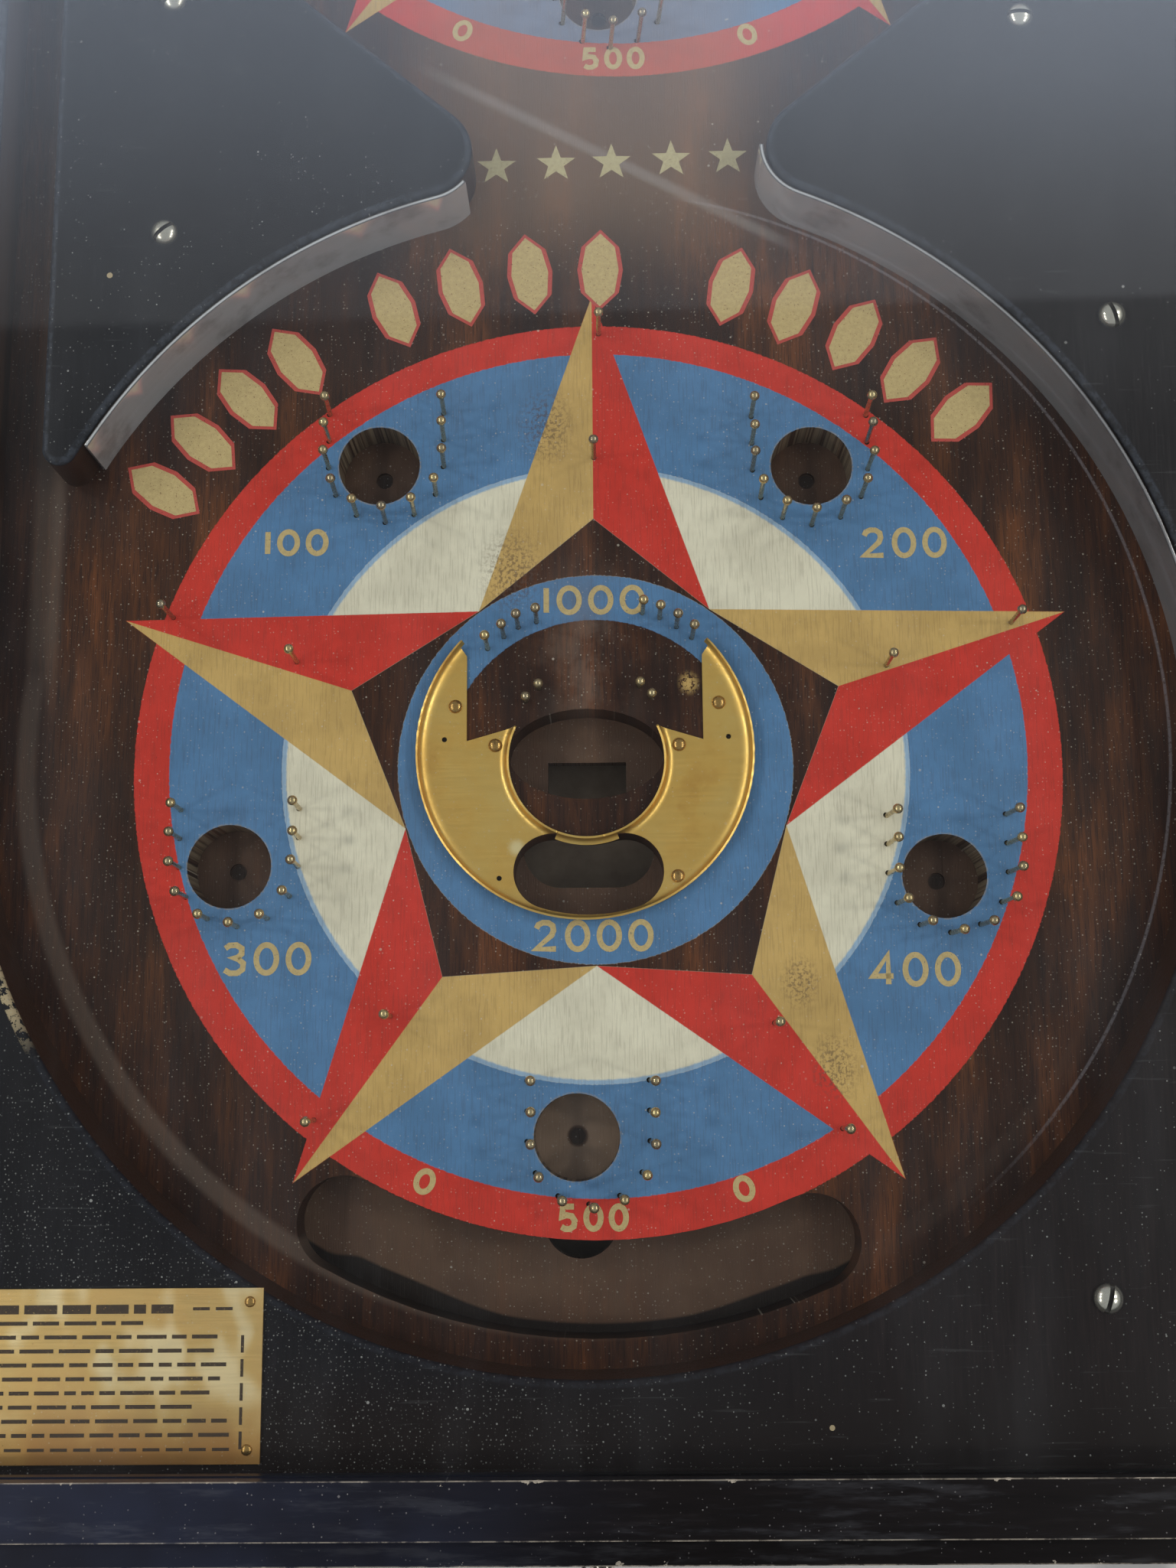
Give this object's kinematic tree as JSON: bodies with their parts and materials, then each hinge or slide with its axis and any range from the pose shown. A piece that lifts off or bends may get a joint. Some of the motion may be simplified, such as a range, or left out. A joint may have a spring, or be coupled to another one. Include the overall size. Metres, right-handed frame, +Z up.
{
  "type": "tabletop pinball machine",
  "caption": "Countertop pin game: a sloping walnut playfield with ringed stars, pins, pockets and brass cups in a black cabinet under a hinged glass frame.",
  "frame": {"origin": "middle of the machine's footprint, from the plunger knob's tip to the cabinet's back, on the table under the rubber feet", "axes": "+Z up, -Y towards the player, +X to the player's right"},
  "size_m": [0.432, 0.831, 0.1696],
  "materials": {
    "black_wood": "black lacquered wood, worn pale at the edges",
    "black_panel": "blue-black stained wood, satin, dusty",
    "plain_wood": "bare pine, aged",
    "walnut": "dark walnut with printed rings and stars",
    "steel_strip": "dull bright steel strip",
    "brass": "aged brass",
    "nickel": "dull nickel plate",
    "spring_steel": "plain spring wire",
    "black_knob": "black lacquered turned knob",
    "rubber": "matt black rubber",
    "ball_steel": "polished steel",
    "ball_brass": "polished brass",
    "glass": "clear plate glass"
  },
  "bodies": {
    "cabinet": {"left_side": "black_wood", "right_side": "black_wood", "front_panel": "black_wood", "back_panel": "black_wood", "bottom_board": "plain_wood", "corner_blocks": "plain_wood", "deck_cleats": "plain_wood", "playfield_board": "walnut", "lower_panel": "black_panel", "left_strip": "black_panel", "top_arch": "black_panel", "left_island": "black_panel", "right_panel": "black_panel", "left_band": "steel_strip", "right_band": "steel_strip", "arch_band": "steel_strip", "lower_cup": "brass", "upper_cup": "brass", "playfield_pins": "brass", "cup_nails": "brass", "panel_screws": "nickel", "instruction_plate": "brass", "plate_pins": "brass", "shutter_runners": "plain_wood", "return_tray": "plain_wood", "ball_guide": "plain_wood", "tray_bearers": "plain_wood", "lane_divider": "plain_wood", "shooter_lane": "plain_wood", "lane_bearers": "plain_wood", "steel_balls": "ball_steel", "special_ball": "ball_brass", "plunger_housing": "nickel", "plunger_spring": "spring_steel", "button_bushing": "nickel", "button_spring": "spring_steel", "lever_spacer": "nickel", "lever_post": "nickel", "hinge_cabinet_leaves": "brass", "hinge_pins": "brass", "rubber_feet": "rubber", "foot_screws": "nickel"},
    "plunger": {"plunger_rod": "nickel", "plunger_tip": "nickel", "plunger_knob": "black_knob", "plunger_washer": "rubber"},
    "clear_button": {"button_rod": "nickel", "button_pin": "nickel", "button_head": "nickel"},
    "clear_lever": {"clear_lever": "steel_strip"},
    "shutter": {"shutter_board": "walnut", "shutter_pin": "nickel"},
    "glass_frame": {"frame_front_rail": "black_wood", "frame_back_rail": "black_wood", "frame_left_rail": "black_wood", "frame_right_rail": "black_wood", "glass_pane": "glass", "hinge_frame_leaves": "brass"}
  },
  "joints": [
    {"name": "plunger_slide", "type": "slide", "parent": "cabinet", "child": "plunger", "axis": [0, -0.9875, -0.1578], "range_m": [0, 0.038], "stiffness_N_per_m": 250, "springref_m": -0.02, "deforming": ["plunger_spring"]},
    {"name": "shutter_slide", "type": "slide", "parent": "cabinet", "child": "shutter", "axis": [0, -0.9976, -0.0698], "range_m": [0, 0.022]},
    {"name": "lever_pivot", "type": "hinge", "parent": "cabinet", "child": "clear_lever", "pos_m": [0.015, -0.30731, 0.06049], "axis": [0, 0.0698, -0.9976], "range_deg": [0, 40.28]},
    {"name": "button_slide", "type": "slide", "parent": "cabinet", "child": "clear_button", "axis": [0, 0.9976, 0.0698], "range_m": [0, 0.011], "stiffness_N_per_m": 500, "springref_m": -0.012, "deforming": ["button_spring"]},
    {"name": "frame_hinge", "type": "hinge", "parent": "cabinet", "child": "glass_frame", "pos_m": [0, 0.41012, 0.16263], "axis": [-1, 0, 0], "range_deg": [0, 105]}
  ],
  "couplings": [
    {"joint": "lever_pivot", "follows": "shutter_slide", "rad_per_m": 31.95},
    {"joint": "button_slide", "follows": "shutter_slide", "ratio": 0.5}
  ]
}
